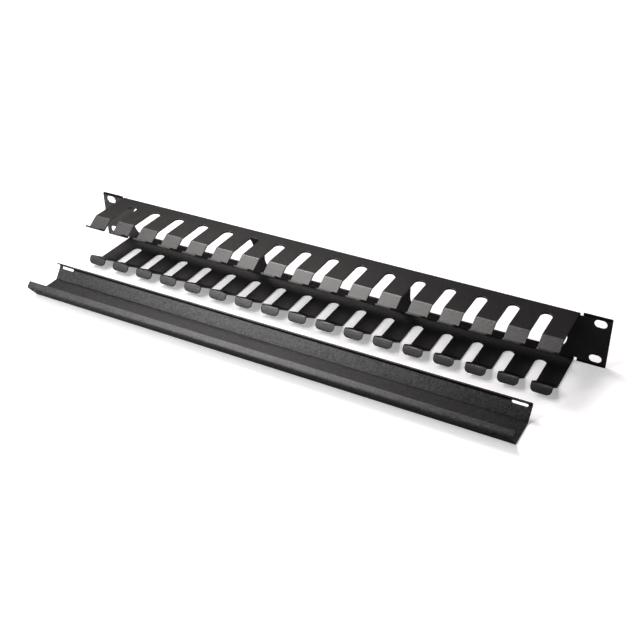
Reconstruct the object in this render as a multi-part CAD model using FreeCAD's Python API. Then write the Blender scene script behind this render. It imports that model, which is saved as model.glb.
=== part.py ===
"""Horizontal cable manager for a 19 inch rack: a finger channel and its clip-on cover.

Units are millimetres.  The rack plane is Y = 0 (rear face of the ears), the
channel opens towards -Y, X runs along the rack unit and Z is up.  The origin is
the centre of the rectangle of rack holes.
"""
import FreeCAD, Part
import math
import os

V = FreeCAD.Vector

# ---- rack and ears ------------------------------------------------------------
RACK_WIDTH = 482.6          # over both ears (19 inch)
RACK_HOLES_X = 465.1        # hole centres across the rack
RACK_HOLES_Z = 31.75        # hole centres within one rack unit
HEIGHT = 44.0               # one rack unit less a small gap
HOLE_LENGTH = 10.0          # ear slot along X
HOLE_HEIGHT = 7.0           # ear slot along Z
EAR_CORNER = 1.0

# ---- folded channel -----------------------------------------------------------
SHEET = 1.5
BEND = 0.8                  # inner bend radius
RELIEF_WIDTH = 2.3          # notch between a plate's end and its ear
RELIEF_DEPTH = 3.0
FOLD_Y = -42.7              # where the flat plates end and the fingers turn inward

UPPER_VALLEY = (-52.7, 15.7)    # end of the upper fingers' slope, outer face
UPPER_EDGE = (-58.3, 20.1)      # free edge of the upper lip
LOWER_RIDGE = (-56.4, -13.2)    # end of the lower fingers' slope, outer face
LOWER_EDGE = (-59.3, -18.8)     # free edge of the lower lip

# ---- fingers ------------------------------------------------------------------
FINGERS = 17
PITCH = 26.0
FINGER_WIDTH = 16.7
SLOT_END_Y = -13.2          # rounded end of the slots between the fingers
UPPER_TIP_CORNER = 2.5
LOWER_TIP_CORNER = 4.0
BODY_WIDTH = FINGERS * PITCH - (PITCH - FINGER_WIDTH)   # over the folded plates, as wide as a comb

# ---- openings in the back -----------------------------------------------------
WINDOW_HEIGHT = 28.6
WINDOW_CORNER = 10.0
WINDOW_OUTER = 209.0        # outer end of the side windows from the middle
WEB_INNER = 65.0            # the webs stand between these two distances
WEB_OUTER = 75.9

# ---- clip-on cover ------------------------------------------------------------
COVER_SHEET = 1.2
COVER_FLOOR_BEND = 1.2      # inner radius where the sides rise from the flat face
COVER_KNEE_BEND = 1.6       # inner radius where the lips turn inward
COVER_X0 = -227.0           # left end
COVER_LENGTH = 437.5
COVER_Y = -106.6            # its centre line on the floor
COVER_FLAT = 27.2           # outer width of the flat face
COVER_WIDE = 45.2           # outer width at the knees
COVER_MOUTH = 35.6          # outer width over the free edges
KNEE_HEIGHT = 11.8
COVER_HEIGHT = 15.7
COVER_SLOT_LENGTH = 12.8
COVER_SLOT_HEIGHT = 2.4
COVER_SLOT_INSET = 2.9      # from the cover's end to the slot
COVER_SLOT_CENTRE = 10.0     # height of the slot's centre line above the floor


def rounded_path(corners, radii):
    """Edges through (y, z) corners in the plane X = 0, each fold rounded by its own radius."""
    points = [V(0, y, z) for y, z in corners]
    edges = []
    start = points[0]
    for i in range(1, len(points) - 1):
        corner = points[i]
        back = (points[i - 1] - corner).normalize()
        ahead = (points[i + 1] - corner).normalize()
        half = 0.5 * math.acos(max(-1.0, min(1.0, back.dot(ahead))))
        setback = radii[i - 1] / math.tan(half)
        first = corner + back * setback
        last = corner + ahead * setback
        inward = (back + ahead).normalize()
        centre = corner + inward * (radii[i - 1] / math.sin(half))
        middle = centre - inward * radii[i - 1]
        edges.append(Part.makeLine(start, first))
        edges.append(Part.Arc(first, middle, last).toShape())
        start = last
    edges.append(Part.makeLine(start, points[-1]))
    return edges


def side_of(path, thickness):
    """The (y, z) corners moved square to the sheet by its thickness, mitred at the folds."""
    moved = []
    normals = []
    for (y0, z0), (y1, z1) in zip(path[:-1], path[1:]):
        length = math.hypot(y1 - y0, z1 - z0)
        normals.append(((z1 - z0) / length, -(y1 - y0) / length))
    for i, (y, z) in enumerate(path):
        before = normals[max(i - 1, 0)]
        after = normals[min(i, len(normals) - 1)]
        sum_y = before[0] + after[0]
        sum_z = before[1] + after[1]
        scale = 2.0 * thickness / (sum_y * sum_y + sum_z * sum_z)
        moved.append((y + sum_y * scale, z + sum_z * scale))
    return moved


def turn(path, i):
    """Positive where the path turns towards the side the sheet lies on."""
    (y0, z0), (y1, z1), (y2, z2) = path[i - 1], path[i], path[i + 1]
    return (y1 - y0) * (z2 - z1) - (z1 - z0) * (y2 - y1)


def folded_sheet(path, thickness, bends, x0, length):
    """Sheet folded along (y, z) corners with one inner radius per fold, run along X from x0."""
    other = side_of(path, thickness)
    near = []
    far = []
    for i in range(1, len(path) - 1):
        inside = turn(path, i) < 0
        bend = bends[i - 1]
        near.append(bend + thickness if inside else bend)
        far.append(bend if inside else bend + thickness)
    face_edges = rounded_path(path, near)
    face_edges.append(Part.makeLine(V(0, *path[-1]), V(0, *other[-1])))
    face_edges += rounded_path(other, far)
    face_edges.append(Part.makeLine(V(0, *path[0]), V(0, *other[0])))
    wire = Part.Wire(Part.__sortEdges__(face_edges))
    sheet = Part.Face(wire).extrude(V(length, 0, 0))
    sheet.translate(V(x0, 0, 0))
    return sheet


def round_ended_box(x0, x1, z0, z1, corner, y0, y1):
    """Prism along Y with a rectangle of rounded corners as its section."""
    box = Part.makeBox(x1 - x0, y1 - y0, z1 - z0, V(x0, y0, z0))
    along = [e for e in box.Edges if abs(e.Vertexes[0].Y - e.Vertexes[1].Y) > 0.5 * (y1 - y0)]
    return box.makeFillet(corner, along)


def finger_gap(x):
    """Everything between two neighbouring fingers, cut through both combs at once."""
    width = PITCH - FINGER_WIDTH
    top = HEIGHT / 2 + 5
    front = FOLD_Y - 30
    centre_y = SLOT_END_Y - width / 2
    box = Part.makeBox(width, centre_y - front, 2 * top, V(x - width / 2, front, -top))
    end = Part.makeCylinder(width / 2, 2 * top, V(x, centre_y, -top))
    return box.fuse(end)


def tip_corner_cutters(x, edge, inner, corner):
    """Two cutters that round the free corners of one finger's lip.

    edge and inner are (y, z) points of the lip's free edge and of its root; the
    cutters run square through the lip's sheet."""
    run = V(0, inner[0] - edge[0], inner[1] - edge[1]).normalize()
    through = run.cross(V(1, 0, 0))
    deep = 4.0
    cutters = []
    for side in (-1, 1):
        outer = V(x + side * FINGER_WIDTH / 2, edge[0], edge[1])
        centre = outer + V(-side * corner, 0, 0) + run * corner
        block_origin = outer + V(side * 1.0, 0, 0) - run * 1.0
        a = block_origin
        b = block_origin + V(-side * (corner + 1.0), 0, 0)
        c = b + run * (corner + 1.0)
        d = a + run * (corner + 1.0)
        square = Part.Face(Part.makePolygon([a, b, c, d, a]))
        square.translate(through * (-deep))
        block = square.extrude(through * (2 * deep))
        disc = Part.makeCylinder(corner, 2 * deep, centre - through * deep, through)
        cutters.append(block.cut(disc))
    return cutters


def channel():
    half = HEIGHT / 2
    path = [
        UPPER_EDGE,
        UPPER_VALLEY,
        (FOLD_Y, half),
        (0.0, half),
        (0.0, -half),
        (FOLD_Y, -half),
        LOWER_RIDGE,
        LOWER_EDGE,
    ]
    bends = [BEND] * (len(path) - 2)
    body = folded_sheet(path, SHEET, bends, -BODY_WIDTH / 2, BODY_WIDTH)

    plate = Part.makeBox(RACK_WIDTH, SHEET, HEIGHT, V(-RACK_WIDTH / 2, -SHEET, -half))
    upright = []
    for e in plate.Edges:
        if abs(e.Vertexes[0].Y - e.Vertexes[1].Y) > 0.5 * SHEET:
            upright.append(e)
    plate = plate.makeFillet(EAR_CORNER, upright)
    between = Part.makeBox(BODY_WIDTH, 3 * SHEET, HEIGHT + 2, V(-BODY_WIDTH / 2, -2 * SHEET, -half - 1))
    shape = body.fuse(plate.cut(between))

    cutters = []
    for side in (-1, 1):
        inner = side * BODY_WIDTH / 2
        x0 = min(inner, inner + side * RELIEF_WIDTH)
        for top in (-1, 1):
            z0 = half - RELIEF_DEPTH if top > 0 else -half - 1
            notch = Part.makeBox(RELIEF_WIDTH, 3 * SHEET, RELIEF_DEPTH + 1, V(x0, -2 * SHEET, z0))
            cutters.append(notch)
            x = side * RACK_HOLES_X / 2
            z = top * RACK_HOLES_Z / 2
            cutters.append(round_ended_box(
                x - HOLE_LENGTH / 2, x + HOLE_LENGTH / 2,
                z - HOLE_HEIGHT / 2, z + HOLE_HEIGHT / 2,
                HOLE_HEIGHT / 2 - 0.001, -2 * SHEET, SHEET))

    windows = [(-WINDOW_OUTER, -WEB_OUTER), (-WEB_INNER, WEB_INNER), (WEB_OUTER, WINDOW_OUTER)]
    for x0, x1 in windows:
        z = WINDOW_HEIGHT / 2
        cutters.append(round_ended_box(x0, x1, -z, z, WINDOW_CORNER, -2 * SHEET, SHEET))

    for i in range(FINGERS - 1):
        cutters.append(finger_gap((i - (FINGERS - 2) / 2) * PITCH))

    for i in range(FINGERS):
        x = (i - (FINGERS - 1) / 2) * PITCH
        cutters += tip_corner_cutters(x, UPPER_EDGE, UPPER_VALLEY, UPPER_TIP_CORNER)
        cutters += tip_corner_cutters(x, LOWER_EDGE, LOWER_RIDGE, LOWER_TIP_CORNER)
    return shape.cut(Part.makeCompound(cutters)).removeSplitter()


def cover():
    floor = -HEIGHT / 2
    flat = COVER_FLAT / 2
    knee = COVER_WIDE / 2
    mouth = COVER_MOUTH / 2
    path = [
        (COVER_Y - mouth, floor + COVER_HEIGHT),
        (COVER_Y - knee, floor + KNEE_HEIGHT),
        (COVER_Y - flat, floor),
        (COVER_Y + flat, floor),
        (COVER_Y + knee, floor + KNEE_HEIGHT),
        (COVER_Y + mouth, floor + COVER_HEIGHT),
    ]
    path.reverse()
    bends = [COVER_KNEE_BEND, COVER_FLOOR_BEND, COVER_FLOOR_BEND, COVER_KNEE_BEND]
    shape = folded_sheet(path, COVER_SHEET, bends, COVER_X0, COVER_LENGTH)
    cutters = []
    z = floor + COVER_SLOT_CENTRE
    for x0 in (COVER_X0 + COVER_SLOT_INSET, COVER_X0 + COVER_LENGTH - COVER_SLOT_INSET - COVER_SLOT_LENGTH):
        cutters.append(round_ended_box(
            x0, x0 + COVER_SLOT_LENGTH,
            z - COVER_SLOT_HEIGHT / 2, z + COVER_SLOT_HEIGHT / 2,
            COVER_SLOT_HEIGHT / 2 - 0.001, COVER_Y - COVER_WIDE, COVER_Y + COVER_WIDE))
    return shape.cut(Part.makeCompound(cutters)).removeSplitter()


os.makedirs("parts", exist_ok=True)
for node, shape in (("channel_body", channel()), ("clip_cover", cover())):
    solids = shape.Solids
    box = shape.BoundBox
    print(node, "solids", len(solids), "valid", shape.isValid(), "faces", len(shape.Faces),
          "x %.1f %.1f y %.1f %.1f z %.1f %.1f" % (box.XMin, box.XMax, box.YMin, box.YMax, box.ZMin, box.ZMax))
    solids[0].exportStep("parts/%s.step" % node)
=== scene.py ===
# %% [markdown]
# # A horizontal cable manager in Blender
#
# One folded steel channel with a comb of fingers above and below, and the long cover
# that clips over the finger tips.  The solids come from the CAD model and are never
# moved: this notebook dresses them, lights them and frames them.
#
# We start by loading that frame.  Every length from here on is in metres.

# %% Load the frame
import math

import bpy
from mathutils import Matrix, Vector


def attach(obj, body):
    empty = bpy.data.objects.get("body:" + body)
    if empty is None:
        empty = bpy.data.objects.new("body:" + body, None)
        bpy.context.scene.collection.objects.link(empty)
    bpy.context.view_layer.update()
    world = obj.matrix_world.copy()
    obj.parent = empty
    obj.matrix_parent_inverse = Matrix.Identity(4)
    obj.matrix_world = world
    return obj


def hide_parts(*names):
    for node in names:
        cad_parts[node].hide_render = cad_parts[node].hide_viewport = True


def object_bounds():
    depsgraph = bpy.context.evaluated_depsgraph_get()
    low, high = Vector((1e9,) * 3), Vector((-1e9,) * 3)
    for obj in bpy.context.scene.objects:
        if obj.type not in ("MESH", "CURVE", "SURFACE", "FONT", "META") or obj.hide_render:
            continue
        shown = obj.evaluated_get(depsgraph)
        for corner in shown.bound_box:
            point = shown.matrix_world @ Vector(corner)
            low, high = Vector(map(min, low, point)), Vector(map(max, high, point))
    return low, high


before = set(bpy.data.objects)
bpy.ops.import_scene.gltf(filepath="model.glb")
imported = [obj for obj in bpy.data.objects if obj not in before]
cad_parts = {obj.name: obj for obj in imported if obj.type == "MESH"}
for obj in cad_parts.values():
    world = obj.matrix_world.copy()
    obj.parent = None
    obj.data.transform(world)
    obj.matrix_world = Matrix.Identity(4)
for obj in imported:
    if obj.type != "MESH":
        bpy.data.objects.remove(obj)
CAD_LOW, CAD_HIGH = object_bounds()
MM = 0.001
print("CAD box in mm:", [round(v / MM, 1) for v in (*CAD_LOW, *CAD_HIGH)])

# %% [markdown]
# ## Small helpers
#
# Colours are written the way a paint chart gives them, as sRGB hex values.  Blender's
# shaders want linear light, so one function turns the one into the other.  A second
# helper adds a shader node with its settings and links in a single call, which keeps
# each material readable as a list of what it is made of.

# %% Colour and node helpers


def linear(hex_value):
    """An sRGB colour such as "#2b2a29" as the linear RGBA that shaders use."""
    channels = [int(hex_value[i:i + 2], 16) / 255 for i in (1, 3, 5)]
    light = [c / 12.92 if c <= 0.04045 else ((c + 0.055) / 1.055) ** 2.4 for c in channels]
    return (*light, 1.0)


def add_node(tree, kind, sockets=None, **settings):
    """Adds one node.  Each socket, by name or number, gets a link or a plain value."""
    node = tree.nodes.new(kind)
    for name, value in settings.items():
        setattr(node, name, value)
    for name, value in (sockets or {}).items():
        if isinstance(value, bpy.types.NodeSocket):
            tree.links.new(value, node.inputs[name])
        else:
            node.inputs[name].default_value = value
    return node


def new_material(name):
    """A material with an empty node tree, and the tree."""
    material = bpy.data.materials.new(name)
    material.use_nodes = True
    material.node_tree.nodes.clear()
    return material, material.node_tree


print("white is", linear("#ffffff"), "and black powder is", linear("#131111"))

# %% [markdown]
# ## Black powder coat
#
# Both pieces are mild steel sheet, sprayed with a dry polyester powder and baked.  The
# powder melts into a skin about 0.08 mm thick that keeps a fine orange peel, so it never
# mirrors anything sharply: a soft lamp comes back as a broad grey sheen, and on a black
# part that sheen is nearly all that the eye reads.
#
# One way to make it is a glossy black under a noise bump alone.  But a bump only tips the
# light, and the real grain also shades itself.  So here the grain does three things at
# once: it lifts the surface, it varies the roughness, and it makes the sheen uneven.
# Polyester bends light a little more than window glass does, which the sheen's level
# stands for, and seen edge-on the crests hide one another and the sheen dies away.
#
# Powder is drawn to the sheet by static charge, and the charge hardly reaches into the
# In the inside corner of a fold the sheen is cut to a fifth: a painted line of shade that
# reads as a dark crease.  The coat there is also less thick in truth, since the static
# charge hardly reaches in.  The brake, further down, marks where that is.
# The real grain is about a third of a millimetre across.  That is too fine to show at
# this distance, so it is drawn as coarse as it needs to be to read as grain.

# %% Powder coat material


def powder_coat(name, colour, dusty, roughness, depth_mm, speckle, grain_mm=1.3, sheen=0.65):
    """Baked powder: colour in the grain's hollows, dusty on its crests, with a speckled sheen."""
    material, tree = new_material(name)
    place = add_node(tree, "ShaderNodeTexCoord").outputs["Object"]
    fine = add_node(tree, "ShaderNodeTexNoise", {
        "Vector": place, "Scale": 1 / (grain_mm * MM), "Detail": 2.0, "Roughness": 0.6}).outputs["Fac"]
    mottle = add_node(tree, "ShaderNodeTexNoise", {
        "Vector": place, "Scale": 1 / (2.6 * grain_mm * MM),
        "Detail": 1.0, "Roughness": 0.5}).outputs["Fac"]
    grain = add_node(tree, "ShaderNodeMix", {
        "Factor": 0.22, "A": fine, "B": mottle}, data_type="FLOAT").outputs["Result"]
    sweep = add_node(tree, "ShaderNodeTexNoise", {
        "Vector": place, "Scale": 1 / (24 * MM), "Detail": 2.0, "Roughness": 0.5}).outputs["Fac"]
    tone = add_node(tree, "ShaderNodeMix", {"Factor": 0.35, "A": grain, "B": sweep}, data_type="FLOAT")
    paint = add_node(tree, "ShaderNodeValToRGB", {"Fac": tone.outputs["Result"]})
    low, high = paint.color_ramp.elements
    low.position, low.color = 0.38, linear(colour)
    high.position, high.color = 0.66, linear(dusty)
    gloss = add_node(tree, "ShaderNodeMapRange", {
        "Value": grain, "From Min": 0.3, "From Max": 0.7,
        "To Min": roughness - 0.05, "To Max": roughness + 0.06})
    crests = add_node(tree, "ShaderNodeMapRange", {
        "Value": grain, "From Min": 0.3, "From Max": 0.7, "To Min": 1 - speckle, "To Max": 1 + speckle})
    edge_on = add_node(tree, "ShaderNodeLayerWeight", {"Blend": 0.5}).outputs["Facing"]
    glance = add_node(tree, "ShaderNodeMapRange", {
        "Value": edge_on, "From Min": 0.5, "From Max": 0.75, "To Min": sheen, "To Max": sheen * 0.15})
    # the brake's mark rises past 0.1 in an inside corner, and is about 0 or less elsewhere
    in_fold = add_node(tree, "ShaderNodeAttribute", attribute_name="inside_fold").outputs["Fac"]
    # painted shade: the sheen drops to a fifth in the inside corner of each fold, drawing a dark crease
    # line
    painted_fold_shade = add_node(tree, "ShaderNodeMapRange", {
        "Value": in_fold, "From Min": 0.0, "From Max": 0.1, "To Min": 1.0, "To Max": 0.2})
    even = add_node(tree, "ShaderNodeMath", {
        0: glance.outputs["Result"], 1: painted_fold_shade.outputs["Result"]}, operation="MULTIPLY")
    level = add_node(tree, "ShaderNodeMath", {
        0: even.outputs[0], 1: crests.outputs["Result"]}, operation="MULTIPLY")
    bump = add_node(tree, "ShaderNodeBump", {"Height": grain, "Strength": 1.0, "Distance": depth_mm * MM})
    shader = add_node(tree, "ShaderNodeBsdfPrincipled", {
        "Base Color": paint.outputs["Color"], "Roughness": gloss.outputs["Result"], "Metallic": 0.0,
        "IOR": 1.5, "Specular IOR Level": level.outputs[0], "Normal": bump.outputs["Normal"]})
    add_node(tree, "ShaderNodeOutputMaterial", {"Surface": shader.outputs["BSDF"]})
    return material


# the channel's coat flowed out smoother and a shade warmer, and the cover's grain shows more
channel_coat = powder_coat(
    "black_powder_coat", "#090808", "#131111", roughness=0.4, depth_mm=0.15, speckle=0.1)
cover_coat = powder_coat(
    "black_powder_coat_cover", "#09090b", "#131316", roughness=0.35, depth_mm=0.25, speckle=0.4)
print("coats:", channel_coat.name, "and", cover_coat.name)

# %% [markdown]
# ## The sheet, the way a press shop makes it
#
# A real cable manager starts as a flat blank.  A turret press punches the slots, the
# windows and the ear holes, the cut edges are deburred, and a brake folds the comb over.
# The Geometry Nodes below work in that order: punch, deburr, fold.  Every hole keeps its
# true shape round the folds, and the comb hangs on a few numbers: how many fingers there
# are, how far apart and how wide.
#
# An outline is a chain of corners in millimetres, each with the radius that rounds it.
# The folding line is the section of the sheet seen from its end, drawn on the outer face.
# All lengths are the solids' own, so that the dressed sheet lies just where they do.

# %% Outlines


def outline_object(name, outlines, upright=False):
    """Chains of (a, b, radius) corners in mm as one loose mesh: (Y, Z) if upright, else (X, Y)."""
    points, edges, radii = [], [], []
    for corners, closed in outlines:
        first = len(points)
        for a, b, radius in corners:
            points.append((0, a * MM, b * MM) if upright else (a * MM, b * MM, 0))
            radii.append(radius * MM)
        edges += [(i, i + 1) for i in range(first, len(points) - 1)]
        if closed:
            edges.append((len(points) - 1, first))
    mesh = bpy.data.meshes.new(name)
    mesh.from_pydata(points, edges, [])
    mesh.attributes.new("corner_radius", "FLOAT", "POINT").data.foreach_set("value", radii)
    drawn = bpy.data.objects.new(name, mesh)
    bpy.context.scene.collection.objects.link(drawn)
    return drawn


def flat_runs(corners):
    """Where each flat run of a folding line starts and ends, measured along the rounded line, in mm."""
    setback, arc = [0.0], [0.0]
    for (y0, z0, _), (y1, z1, radius), (y2, z2, _) in zip(corners, corners[1:], corners[2:]):
        turned = Vector((y1 - y0, z1 - z0)).angle(Vector((y2 - y1, z2 - z1)))
        setback.append(radius * math.tan(turned / 2))
        arc.append(radius * turned)
    setback.append(0.0)
    runs, reached = [], 0.0
    for i, ((y0, z0, _), (y1, z1, _)) in enumerate(zip(corners, corners[1:])):
        reached += arc[i]
        flat = math.hypot(y1 - y0, z1 - z0) - setback[i] - setback[i + 1]
        runs.append((reached, reached + flat))
        reached += flat
    return runs


SHEET, BEND, HALF = 1.5, 0.8, 22.0      # HALF is half the channel's height
CLOSING = BEND + SHEET                  # outer radius of a fold that closes inward
FOLD_Y = -42.7                          # where both plates end and the finger slopes begin
CHANNEL_FOLDS = [
    (-58.3, 20.1, 0), (-52.7, 15.7, BEND), (FOLD_Y, HALF, CLOSING), (0, HALF, CLOSING),
    (0, -HALF, CLOSING), (FOLD_Y, -HALF, CLOSING), (-56.4, -13.2, BEND), (-59.3, -18.8, 0)]
channel_line = outline_object("channel_folding_line", [(CHANNEL_FOLDS, False)], upright=True)
channel_runs = flat_runs(CHANNEL_FOLDS)
print("flat runs of the channel in mm:", [round(b - a, 1) for a, b in channel_runs])

# %% [markdown]
# ### The punches
#
# On the flat blank X runs along the rack unit and Y across the folds, from the middle of
# the channel's back.  One punch makes the gap between two fingers and rounds a corner of
# each of them: it is a slot with a round end that flares out past the fingers' tips.

# %% Punches of the channel
FINGERS, PITCH, FINGER = 17, 26.0, 16.7
GAP = PITCH - FINGER
UPPER_TIP, LOWER_TIP = 2.5, 4.0         # the radius of a finger tip's corners in each comb
BODY = FINGERS * PITCH - GAP            # over the plates, as wide as a comb
EAR = 482.6 / 2                         # from the middle to the outer edge of an ear
EAR_CORNER = 1.0
HOLES_X, HOLES_Z = 465.1, 31.75         # between the rack slots, across and in height
RACK_SLOT = (10.0, 7.0)
RELIEF_WIDE, RELIEF_DEEP = 2.3, 3.0     # the notch that ends a long fold
WINDOW_HIGH, WINDOW_CORNER = 28.6, 10.0
MIDDLE_WINDOW, SIDE_WINDOW, WEB = 130.0, 133.1, 10.9
BACK = sum(channel_runs[3]) / 2         # the middle of the back, measured along the folding line
GAP_END = 13.2                          # from the face of the back to the round end of a gap
PLATE = CLOSING - GAP_END               # the same from the start of the back's fold
TIP_TOP = channel_runs[0][0] - BACK
TIP_LOW = channel_runs[6][1] - BACK
GAP_TOP = channel_runs[2][1] + PLATE - BACK
GAP_LOW = channel_runs[4][0] - PLATE - BACK
PAST = 6.0                              # how far a punch reaches past the blank


def gap_punch(end, mouth, corner, end_radius):
    """The gap between two fingers: its inner end, and its flared mouth at the fingers' tips."""
    out = math.copysign(PAST, mouth - end)
    side, flare = GAP / 2, GAP / 2 + corner
    left = [
        (-side, end, end_radius), (-side, mouth, corner),
        (-flare, mouth, 0), (-flare, mouth + out, 0)]
    return left + [(-x, y, radius) for x, y, radius in reversed(left)], True


def box_punch(x, y, width, height, corner):
    """An oblong hole round (x, y) with rounded corners."""
    signs = ((-1, -1), (1, -1), (1, 1), (-1, 1))
    return [(x + a * width / 2, y + b * height / 2, corner) for a, b in signs], True


def ear_punch(side):
    """Everything that is cut away beyond the plates, round one ear and down its two relief notches."""
    far, out = TIP_LOW + PAST, 246.0    # both are well past the blank
    plate, relief, notch_end = BODY / 2, BODY / 2 + RELIEF_WIDE, HALF - RELIEF_DEEP
    upper = [
        (plate, far, 0), (plate, notch_end, 0), (relief, notch_end, 0),
        (relief, HALF, 0), (EAR, HALF, EAR_CORNER)]
    corners = upper + [(x, -y, r) for x, y, r in reversed(upper)]
    return [(side * x, y, r) for x, y, r in corners + [(out, -far, 0), (out, far, 0)]], True


NEARLY = 0.998                          # a full round end, less a hair so that its two arcs don't meet
SIDE_WINDOW_X = (MIDDLE_WINDOW + SIDE_WINDOW) / 2 + WEB
gap_punches = outline_object("gap_punches", [
    gap_punch(GAP_TOP, TIP_TOP, UPPER_TIP, NEARLY * GAP / 2),
    gap_punch(GAP_LOW, TIP_LOW, LOWER_TIP, NEARLY * GAP / 2)])
end_punches = outline_object("end_punches", [
    gap_punch(channel_runs[1][1] - BACK, TIP_TOP, UPPER_TIP, 0),
    gap_punch(channel_runs[5][0] - BACK, TIP_LOW, LOWER_TIP, 0)])
single_punches = outline_object("window_and_ear_punches", [
    box_punch(0, 0, MIDDLE_WINDOW, WINDOW_HIGH, WINDOW_CORNER),
    *[box_punch(side * SIDE_WINDOW_X, 0, SIDE_WINDOW, WINDOW_HIGH, WINDOW_CORNER) for side in (-1, 1)],
    ear_punch(-1), ear_punch(1),
    *[box_punch(x * HOLES_X / 2, y * HOLES_Z / 2, *RACK_SLOT, NEARLY * RACK_SLOT[1] / 2)
      for x in (-1, 1) for y in (-1, 1)]])

print("a gap every", PITCH, "mm,", FINGERS - 1, "in each comb")

# %% [markdown]
# ### The cover's folding line
#
# The cover is a shallow tray of thinner sheet.  Its sides lean out as they rise and its
# lips turn back in, so that it springs open over the finger tips and grips behind them.
# A slot near each end of both sides takes a flat tool that springs it off again.

# %% Folding line and punches of the cover
COVER_SHEET, COVER_Y, FLOOR = 1.2, -106.6, -22.0
KNEE, FOOT = 1.6 + COVER_SHEET, 1.2 + COVER_SHEET       # outer radii at the lips and at the floor
back_half = [(17.8, 15.7, 0), (22.6, 11.8, KNEE), (13.6, 0, FOOT)]
front_half = [(-y, z, radius) for y, z, radius in reversed(back_half)]
COVER_FOLDS = [(COVER_Y + y, FLOOR + z, radius) for y, z, radius in back_half + front_half]
cover_line = outline_object("cover_folding_line", [(COVER_FOLDS, False)], upright=True)
cover_runs = flat_runs(COVER_FOLDS)
COVER_LEFT, COVER_RIGHT = -227.0, 210.5
SLOT_LONG, SLOT_WIDE, SLOT_IN = 12.8, 2.7, 9.3          # SLOT_IN is from an end to a slot's middle
PAST_KNEE = 0.3                                         # how far a slot's middle lies into the knee
slot_lines = (cover_runs[1][0] - PAST_KNEE, cover_runs[3][1] + PAST_KNEE)
cover_punches = outline_object("cover_punches", [
    box_punch(x, y, SLOT_LONG, SLOT_WIDE, NEARLY * SLOT_WIDE / 2)
    for x in (COVER_LEFT + SLOT_IN, COVER_RIGHT - SLOT_IN) for y in slot_lines])
no_punch = outline_object("no_punch", [])
print("flat runs of the cover in mm:", [round(b - a, 1) for a, b in cover_runs])

# %% [markdown]
# ### Punching the blank
#
# The first tree unrolls the folding line: every point of the rounded line goes to its own
# distance along it, so the flat blank already has an edge wherever a fold will need one.
# It gives the blank its thickness, sets the gap punch along a line at the fingers' pitch,
# and takes all the punches away in one Boolean.

# %% Geometry tree: the punched blank
FOLD_STEPS, CORNER_STEPS = 8, 12        # straight pieces in a fold's arc and in a punched corner
PUNCH_REACH = 0.01                      # in metres, to either side of the blank
MERGED = 0.000002                       # in metres, closer points are one and the same


def geometry_tree(name, sizes):
    """An empty Geometry Nodes tree with named inputs, and its input and output nodes."""
    tree = bpy.data.node_groups.new(name, "GeometryNodeTree")
    tree.interface.new_socket("Geometry", in_out="INPUT", socket_type="NodeSocketGeometry")
    for size_name, kind in sizes:
        tree.interface.new_socket(size_name, in_out="INPUT", socket_type="NodeSocket" + kind)
    tree.interface.new_socket("Geometry", in_out="OUTPUT", socket_type="NodeSocketGeometry")
    return tree, tree.nodes.new("NodeGroupInput").outputs, tree.nodes.new("NodeGroupOutput")


def rounded_curve(tree, drawn, arc_steps):
    """An outline object as curves whose corners are rounded by their own radii."""
    shape = add_node(tree, "GeometryNodeObjectInfo", {"Object": drawn}, transform_space="ORIGINAL")
    curve = add_node(tree, "GeometryNodeMeshToCurve", {"Mesh": shape.outputs["Geometry"]})
    radius = add_node(tree, "GeometryNodeInputNamedAttribute", {
        "Name": "corner_radius"}, data_type="FLOAT")
    return add_node(tree, "GeometryNodeFilletCurve", {
        "Curve": curve.outputs["Curve"], "Radius": radius.outputs["Attribute"], "Count": arc_steps},
        mode="POLY").outputs["Curve"]


def thickened(tree, flat, depth):
    """A flat mesh that faces +Z raised by depth and closed underneath."""
    upward = add_node(tree, "FunctionNodeInputVector", vector=(0, 0, 1)).outputs[0]
    raised = add_node(tree, "GeometryNodeExtrudeMesh", {
        "Mesh": flat, "Offset": upward, "Offset Scale": depth, "Individual": False})
    under = add_node(tree, "GeometryNodeFlipFaces", {"Mesh": flat})
    both = add_node(tree, "GeometryNodeJoinGeometry", {"Geometry": raised.outputs["Mesh"]})
    tree.links.new(under.outputs["Mesh"], both.inputs["Geometry"])
    return add_node(tree, "GeometryNodeMergeByDistance", {
        "Geometry": both.outputs["Geometry"], "Distance": MERGED}).outputs["Geometry"]


def flat_blank(tree, given):
    """The folding line laid flat, a point at its own length along it, and drawn out to a sheet."""
    line = rounded_curve(tree, given["Folding line"], FOLD_STEPS)
    along = add_node(tree, "GeometryNodeSplineParameter").outputs["Length"]
    across = add_node(tree, "ShaderNodeMath", {
        0: along, 1: given["Zero"]}, operation="SUBTRACT").outputs[0]
    under = add_node(tree, "ShaderNodeMath", {
        0: given["Sheet"], 1: -1.0}, operation="MULTIPLY").outputs[0]
    flat_place = add_node(tree, "ShaderNodeCombineXYZ", {
        "X": given["Left end"], "Y": across, "Z": under})
    unrolled = add_node(tree, "GeometryNodeSetPosition", {
        "Geometry": line, "Position": flat_place.outputs[0]})
    edge = add_node(tree, "GeometryNodeCurveToMesh", {"Curve": unrolled.outputs["Geometry"]})
    rightward = add_node(tree, "FunctionNodeInputVector", vector=(1, 0, 0)).outputs[0]
    strip = add_node(tree, "GeometryNodeExtrudeMesh", {
        "Mesh": edge.outputs["Mesh"], "Offset": rightward, "Offset Scale": given["Length"]}, mode="EDGES")
    return thickened(tree, strip.outputs["Mesh"], given["Sheet"])


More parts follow.
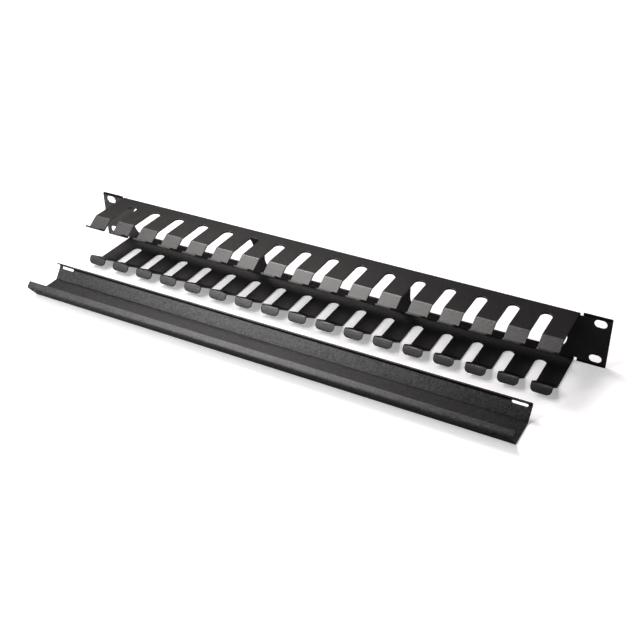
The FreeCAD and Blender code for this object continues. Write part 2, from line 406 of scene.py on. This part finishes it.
def struck_row(tree, drawn, count, first, gap):
    """The solids that one set of punch outlines takes away: how many, from where and how far apart."""
    face = add_node(tree, "GeometryNodeFillCurve", {
        "Curve": rounded_curve(tree, drawn, CORNER_STEPS)}, mode="NGONS")
    low = add_node(tree, "GeometryNodeTransform", {
        "Geometry": face.outputs["Mesh"], "Translation": (0, 0, -PUNCH_REACH)})
    solid = thickened(tree, low.outputs["Geometry"], 2 * PUNCH_REACH)
    place = add_node(tree, "ShaderNodeCombineXYZ", {"X": first})
    step = add_node(tree, "ShaderNodeCombineXYZ", {"X": gap})
    row = add_node(tree, "GeometryNodeMeshLine", {
        "Count": count, "Start Location": place.outputs[0], "Offset": step.outputs[0]})
    struck = add_node(tree, "GeometryNodeInstanceOnPoints", {
        "Points": row.outputs["Mesh"], "Instance": solid})
    return add_node(tree, "GeometryNodeRealizeInstances", {
        "Geometry": struck.outputs["Instances"]}).outputs["Geometry"]


def punched_blank_tree():
    """The press: it lays the sheet out flat and takes every hole and gap out of it."""
    tree, given, result = geometry_tree("punched_blank", [
        ("Folding line", "Object"), ("Sheet", "Float"), ("Zero", "Float"), ("Left end", "Float"),
        ("Length", "Float"), ("Repeated", "Object"), ("Count", "Int"), ("Pitch", "Float"),
        ("Ends", "Object"), ("Singles", "Object")])
    cut = add_node(tree, "GeometryNodeMeshBoolean", {
        "Mesh 1": flat_blank(tree, given)}, operation="DIFFERENCE", solver="EXACT")
    steps = add_node(tree, "ShaderNodeMath", {
        0: given["Count"], 1: 1.0}, operation="SUBTRACT").outputs[0]
    reach = add_node(tree, "ShaderNodeMath", {
        0: given["Pitch"], 1: steps}, operation="MULTIPLY").outputs[0]
    start = add_node(tree, "ShaderNodeMath", {
        0: reach, 1: -0.5}, operation="MULTIPLY").outputs[0]
    end_start = add_node(tree, "ShaderNodeMath", {
        0: start, 1: given["Pitch"]}, operation="SUBTRACT").outputs[0]
    end_reach = add_node(tree, "ShaderNodeMath", {
        0: end_start, 1: -2.0}, operation="MULTIPLY").outputs[0]
    # the gap punch once for every gap, one beside each outermost finger, and all the rest once
    rows = (
        (given["Repeated"], given["Count"], start, given["Pitch"]),
        (given["Ends"], 2, end_start, end_reach),
        (given["Singles"], 1, 0.0, 0.0))
    for row in rows:
        tree.links.new(struck_row(tree, *row), cut.inputs["Mesh 2"])
    tree.links.new(cut.outputs["Mesh"], result.inputs["Geometry"])
    return tree


blank_tree = punched_blank_tree()
print("punching takes", len(blank_tree.nodes), "nodes")

# %% [markdown]
# ### Folding
#
# The second tree is the press brake.  It reads each point's Y as a length along the
# folding line, goes there, and steps out square to the line by the point's height in the
# sheet.  The ears are never folded: beyond the plates the blank stays in its own plane.
#
# It also marks the hollow side of every fold, where the powder coat paints its line of
# shade.  A point is inside a fold when the line turns towards it both just behind and
# just ahead of its own place.

# %% Geometry tree: the brake


def hollow_side(tree, spots, height, sheet):
    """How far the line turns round a point: above 0 on the hollow side of a fold, else 0 or less."""
    under = add_node(tree, "ShaderNodeMath", {0: sheet, 1: -1.0}, operation="MULTIPLY").outputs[0]
    # -1 on the sheet's inner face and 1 on its outer face
    face = add_node(tree, "ShaderNodeMapRange", {
        "Value": height, "From Min": under, "From Max": 0.0,
        "To Min": -1.0, "To Max": 1.0}).outputs["Result"]
    hollows = []
    for before, after in zip(spots, spots[1:]):
        turn = add_node(tree, "ShaderNodeVectorMath", {
            0: before["Tangent"], 1: after["Tangent"]}, operation="CROSS_PRODUCT").outputs[0]
        turned = add_node(tree, "ShaderNodeSeparateXYZ", {"Vector": turn}).outputs["X"]
        hollows.append(add_node(tree, "ShaderNodeMath", {
            0: turned, 1: face}, operation="MULTIPLY").outputs[0])
    return add_node(tree, "ShaderNodeMath", {
        0: hollows[0], 1: hollows[1]}, operation="MINIMUM").outputs[0]


def fold_tree(nearby_mm=0.4):
    """The brake: it folds the sheet along its line and marks the hollow side of each fold."""
    tree, given, result = geometry_tree("fold_sheet", [
        ("Folding line", "Object"), ("Sheet", "Float"), ("Zero", "Float"), ("Folded half", "Float"),
        ("Coat", "Material")])
    line = rounded_curve(tree, given["Folding line"], FOLD_STEPS)
    here = add_node(tree, "GeometryNodeInputPosition").outputs[0]
    xyz = add_node(tree, "ShaderNodeSeparateXYZ", {"Vector": here}).outputs
    length = add_node(tree, "ShaderNodeMath", {
        0: xyz["Y"], 1: given["Zero"]}, operation="ADD").outputs[0]
    spots = []
    for step in (-nearby_mm * MM, 0.0, nearby_mm * MM):
        reached = add_node(tree, "ShaderNodeMath", {
            0: length, 1: step}, operation="ADD").outputs[0]
        spots.append(add_node(tree, "GeometryNodeSampleCurve", {
            "Curves": line, "Length": reached}, mode="LENGTH", use_all_curves=True).outputs)
    spot = spots[1]
    outward = add_node(tree, "ShaderNodeVectorMath", {
        0: (1, 0, 0), 1: spot["Tangent"]}, operation="CROSS_PRODUCT").outputs[0]
    lift = add_node(tree, "ShaderNodeVectorMath", {
        0: outward, "Scale": xyz["Z"]}, operation="SCALE").outputs[0]
    lifted = add_node(tree, "ShaderNodeVectorMath", {
        0: spot["Position"], 1: lift}, operation="ADD").outputs[0]
    sideways = add_node(tree, "ShaderNodeCombineXYZ", {"X": xyz["X"]}).outputs[0]
    folded = add_node(tree, "ShaderNodeVectorMath", {
        0: lifted, 1: sideways}, operation="ADD").outputs[0]

    # an ear stays in the plane of the back
    down = add_node(tree, "ShaderNodeMath", {0: xyz["Y"], 1: -1.0}, operation="MULTIPLY").outputs[0]
    in_plane = add_node(tree, "ShaderNodeCombineXYZ", {
        "X": xyz["X"], "Y": xyz["Z"], "Z": down}).outputs[0]
    far_out = add_node(tree, "ShaderNodeMath", {0: xyz["X"]}, operation="ABSOLUTE").outputs[0]
    is_ear = add_node(tree, "ShaderNodeMath", {
        0: far_out, 1: given["Folded half"]}, operation="GREATER_THAN").outputs[0]
    place = add_node(tree, "GeometryNodeSwitch", {
        "Switch": is_ear, "False": folded, "True": in_plane}, input_type="VECTOR").outputs[0]

    marked = add_node(tree, "GeometryNodeStoreNamedAttribute", {
        "Geometry": given["Geometry"], "Name": "inside_fold",
        "Value": hollow_side(tree, spots, xyz["Z"], given["Sheet"])}, data_type="FLOAT", domain="POINT")
    bent = add_node(tree, "GeometryNodeSetPosition", {
        "Geometry": marked.outputs["Geometry"], "Position": place})
    whole = add_node(tree, "GeometryNodeRealizeInstances", {"Geometry": bent.outputs["Geometry"]})
    coated = add_node(tree, "GeometryNodeSetMaterial", {
        "Geometry": whole.outputs["Geometry"], "Material": given["Coat"]})
    tree.links.new(coated.outputs["Geometry"], result.inputs["Geometry"])
    return tree


brake_tree = fold_tree()
print("folding takes", len(brake_tree.nodes), "nodes")

# %% [markdown]
# ### Deburring, and a finished piece
#
# Between the two trees a Bevel modifier takes the burr off every cut edge.  On the flat
# blank all those edges are square, and the lines where the folds will come are not edges
# at all, so an angle limit keeps the bevel to the cuts.  Powder builds up a little on an
# edge, which is why it is rounded rather than cut at 45 degrees.
#
# Weighted normals come last: they keep each flat run flat to the eye right up to its
# folds.  The result is turned into a plain mesh, so nothing is worked out again later.

# %% Making a folded piece


def set_inputs(modifier, values):
    """Sets a Geometry Nodes modifier's inputs, found by name, through their sockets' identifiers."""
    for item in modifier.node_group.interface.items_tree:
        if item.in_out == "INPUT" and item.name in values:
            modifier[item.identifier] = values[item.name]


def folded_piece(name, node, coat, punching, folding, burr_mm=0.22):
    """Punches, deburrs and folds one sheet, and lets it stand for its CAD node."""
    work = bpy.data.objects.new(name, bpy.data.meshes.new(name))
    bpy.context.scene.collection.objects.link(work)
    punch = work.modifiers.new("punch", "NODES")
    punch.node_group = blank_tree
    set_inputs(punch, punching)
    deburr = work.modifiers.new("deburr", "BEVEL")
    deburr.width = burr_mm * MM
    deburr.segments = 3
    deburr.limit_method = "ANGLE"
    deburr.angle_limit = math.radians(60)
    deburr.use_clamp_overlap = False
    fold = work.modifiers.new("fold", "NODES")
    fold.node_group = brake_tree
    set_inputs(fold, {**folding, "Coat": coat})
    even = work.modifiers.new("even_shading", "WEIGHTED_NORMAL")
    even.keep_sharp = True
    depsgraph = bpy.context.evaluated_depsgraph_get()
    mesh = bpy.data.meshes.new_from_object(
        work.evaluated_get(depsgraph), preserve_all_data_layers=True, depsgraph=depsgraph)
    work.modifiers.clear()
    work.data = mesh
    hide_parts(node)
    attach(work, "root")
    return work


# %% The channel and its cover
BLANK_HALF = 243.0                      # the blank before the ears are cut to length
WITH_CUT_END = 0.02                     # so that the plates' own cut ends fold along with them
NO_EARS = 1000.0                        # the cover is folded over its whole length
channel = folded_piece(
    "folded_channel", "channel_body", channel_coat,
    {"Folding line": channel_line, "Sheet": SHEET * MM, "Zero": BACK * MM,
     "Left end": -BLANK_HALF * MM, "Length": 2 * BLANK_HALF * MM,
     "Repeated": gap_punches, "Count": FINGERS - 1, "Pitch": PITCH * MM,
     "Ends": end_punches, "Singles": single_punches},
    {"Folding line": channel_line, "Sheet": SHEET * MM, "Zero": BACK * MM,
     "Folded half": (BODY / 2 + WITH_CUT_END) * MM})
cover = folded_piece(
    "folded_cover", "clip_cover", cover_coat,
    {"Folding line": cover_line, "Sheet": COVER_SHEET * MM, "Zero": 0.0,
     "Left end": COVER_LEFT * MM, "Length": (COVER_RIGHT - COVER_LEFT) * MM,
     "Repeated": no_punch, "Count": 0, "Pitch": 0.0, "Ends": no_punch, "Singles": cover_punches},
    {"Folding line": cover_line, "Sheet": COVER_SHEET * MM, "Zero": 0.0,
     "Folded half": NO_EARS * MM})
drawings = (
    channel_line, cover_line, gap_punches, end_punches, single_punches, cover_punches, no_punch)
for drawing in drawings:
    bpy.data.objects.remove(drawing)

# %% [markdown]
# ## Floor and backdrop
#
# A plain white paper sheet under the part.  The paper is lit like the part, so it keeps
# the soft shadows between the fingers and under the tips.  For the camera some plain
# white is added to it, more the farther it is from the part, so that the sheet goes over
# into the white of the world with no horizon.
#
# The coat mirrors the sheet too, and most of all where it is seen at a low angle.  In
# reflections the paper is painted grey, a painted pool of light that is lightest at the left:
# the left ear and the left end of the cover mirror bright paper, the right ear mirrors dark grey.

# %% Floor


def floor_sheet(lift=0.36, mirrored_lift=0.03, reach=6.0, under=0.0001):
    """White paper with some plain white added for the eye; in reflections it is painted greyer towards
    the right.
    """
    material, tree = new_material("white_paper_sheet")
    ray = add_node(tree, "ShaderNodeLightPath").outputs
    bounced = add_node(tree, "ShaderNodeMath", {
        0: ray["Is Glossy Ray"], 1: ray["Is Transmission Ray"]}, operation="MAXIMUM").outputs[0]
    spot = add_node(tree, "ShaderNodeTexCoord").outputs["Object"]
    rightward = add_node(tree, "ShaderNodeSeparateXYZ", {"Vector": spot}).outputs["X"]
    # painted reflection: for reflected rays the paper is painted from light grey at the left to dark grey
    # (#38383c) at the right
    painted_reflection_shade = add_node(tree, "ShaderNodeMapRange", {
        "Value": rightward, "From Min": -0.3, "From Max": 0.25,
        "To Min": 0.2, "To Max": 0.85}).outputs["Result"]
    greyer = add_node(tree, "ShaderNodeMath", {
        0: bounced, 1: painted_reflection_shade}, operation="MULTIPLY").outputs[0]
    # sockets 6 and 7 of a Mix node are its two colours, and its output 2 is the mixed one
    tint = add_node(tree, "ShaderNodeMix", {
        0: greyer, 6: linear("#ededed"), 7: linear("#38383c")}, data_type="RGBA").outputs[2]
    paper = add_node(tree, "ShaderNodeBsdfDiffuse", {"Color": tint, "Roughness": 1.0})
    in_coat = add_node(tree, "ShaderNodeMath", {
        0: bounced, 1: mirrored_lift}, operation="MULTIPLY").outputs[0]
    away = add_node(tree, "ShaderNodeVectorMath", {0: spot}, operation="LENGTH").outputs["Value"]
    to_eye = add_node(tree, "ShaderNodeMapRange", {
        "Value": away, "From Min": 0.24, "From Max": 0.7,
        "To Min": lift, "To Max": 1.0}).outputs["Result"]
    strength = add_node(tree, "ShaderNodeMath", {
        0: ray["Is Camera Ray"], 1: to_eye, 2: in_coat}, operation="MULTIPLY_ADD").outputs[0]
    white = add_node(tree, "ShaderNodeEmission", {
        "Color": linear("#ffffff"), "Strength": strength})
    look = add_node(tree, "ShaderNodeAddShader", {
        0: paper.outputs["BSDF"], 1: white.outputs["Emission"]})
    add_node(tree, "ShaderNodeOutputMaterial", {"Surface": look.outputs["Shader"]})
    mesh = bpy.data.meshes.new("floor")
    z = CAD_LOW.z - under
    corners = [(-reach, -reach, z), (reach, -reach, z), (reach, reach, z), (-reach, reach, z)]
    mesh.from_pydata(corners, [], [(0, 1, 2, 3)])
    mesh.materials.append(material)
    sheet = bpy.data.objects.new("floor", mesh)
    bpy.context.scene.collection.objects.link(sheet)
    return sheet


floor = floor_sheet()
print(floor.name, "at", round(CAD_LOW.z / MM, 2), "mm")

# %% [markdown]
# ## The room
#
# A plain room gives the coat a faint even light from all sides, too little to fill the
# shadows.  To the eye it is white, so that the sheet's far edge is lost in it.  A painted
# backdrop could do the same, but it would need to be lit evenly.

# %% World


def plain_world(light, seen):
    """An even white room: light is what it gives, seen is what the camera is shown."""
    world = bpy.data.worlds.new("studio")
    bpy.context.scene.world = world
    world.use_nodes = True
    tree = world.node_tree
    tree.nodes.clear()
    ray = add_node(tree, "ShaderNodeLightPath").outputs
    strength = add_node(tree, "ShaderNodeMapRange", {
        "Value": ray["Is Camera Ray"], "To Min": light, "To Max": seen})
    sky = add_node(tree, "ShaderNodeBackground", {
        "Strength": strength.outputs["Result"], "Color": linear("#ffffff")})
    add_node(tree, "ShaderNodeOutputWorld", {"Surface": sky.outputs["Background"]})
    return world


world = plain_world(light=0.02, seen=1.0)
print("world:", world.name, "with", len(world.node_tree.nodes), "nodes")

# %% [markdown]
# ## Lamps
#
# Each flat run of the folded sheet mirrors one direction, so each has a soft box of its
# own to thank for its tone.  The one straight above the left end makes the finger slopes
# the lightest faces of all.  The one beside it, farther back, grazes the flat plates and
# leaves them darker.  Two in front, one high and one low, light the cover's lip, its back
# wall and the lower finger tips, and a weak one at the left evens out that end.
#
# All of them are soft boxes about a metre away, weak enough for white paper to come out
# just white.  What lies under the upper comb sees little of them and stays nearly black.

# %% Lamps
PART_MIDDLE = (0.0, -0.06, 0.0)


def soft_box(name, place, aim, size, power, colour):
    """A square area lamp of this size in metres and power in watts, turned to what it lights."""
    lamp = bpy.data.lights.new(name, "AREA")
    lamp.size = size
    lamp.energy = power
    lamp.color = linear(colour)[:3]
    box = bpy.data.objects.new(name, lamp)
    box.location = Vector(place)
    box.rotation_euler = (Vector(aim) - Vector(place)).to_track_quat("-Z", "Y").to_euler()
    bpy.context.scene.collection.objects.link(box)
    return box


def away_from(middle, direction, distance=1.0):
    """The place that lies this far from the middle in the given direction."""
    return Vector(middle) + Vector(direction).normalized() * distance


for name, direction, size, power, colour in (
        ("soft_box_top", (-0.42, 0.05, 0.90), 0.6, 4.9, "#fffafb"),
        ("soft_box_back", (-0.40, 0.24, 0.885), 0.4, 10.2, "#fff8f6"),
        ("soft_box_front_high", (-0.45, -0.48, 0.75), 0.35, 3.8, "#fffcfd"),
        ("soft_box_front_low", (-0.49, -0.83, 0.28), 0.3, 4.2, "#ffffff"),
        ("soft_box_left", (-0.75, -0.42, 0.53), 0.6, 0.8, "#ffffff")):
    soft_box(name, away_from(PART_MIDDLE, direction), PART_MIDDLE, size, power, colour)

# %% [markdown]
# ## Camera
#
# A short telephoto view from above the right end, looking back along the part.  The
# turn and the tilt are the camera's own angles, and the roll is the small lean that a
# hand-levelled tripod leaves.

# %% Camera


def camera_at(place, azimuth, elevation, roll, lens_mm):
    """A camera at a place in metres.  Azimuth 0 looks along +Y and turns towards +X; in degrees."""
    az, el, ro = (math.radians(a) for a in (azimuth, elevation, roll))
    forward = Vector((math.sin(az) * math.cos(el), math.cos(az) * math.cos(el), -math.sin(el)))
    level = Vector((math.cos(az), -math.sin(az), 0))
    plumb = forward.cross(level)
    right = math.cos(ro) * level + math.sin(ro) * plumb
    down = math.cos(ro) * plumb - math.sin(ro) * level
    data = bpy.data.cameras.new("camera")
    data.sensor_width = 36.0
    data.lens = lens_mm
    data.clip_start = 0.01
    data.clip_end = 50
    camera = bpy.data.objects.new("camera", data)
    camera.matrix_world = Matrix((
        (right.x, -down.x, -forward.x, place[0]),
        (right.y, -down.y, -forward.y, place[1]),
        (right.z, -down.z, -forward.z, place[2]),
        (0, 0, 0, 1)))
    bpy.context.scene.collection.objects.link(camera)
    bpy.context.scene.camera = camera
    return camera


camera = camera_at((0.3521, -0.65688, 0.43439), -28.88, 33.04, 0.78, lens_mm=56.45)
print("lens", round(camera.data.lens, 1), "mm")

# %% [markdown]
# ## Finish
#
# The view transform stays plain, so that a colour comes out as it was written.

# %% Finish
bpy.context.scene.view_settings.view_transform = "Standard"
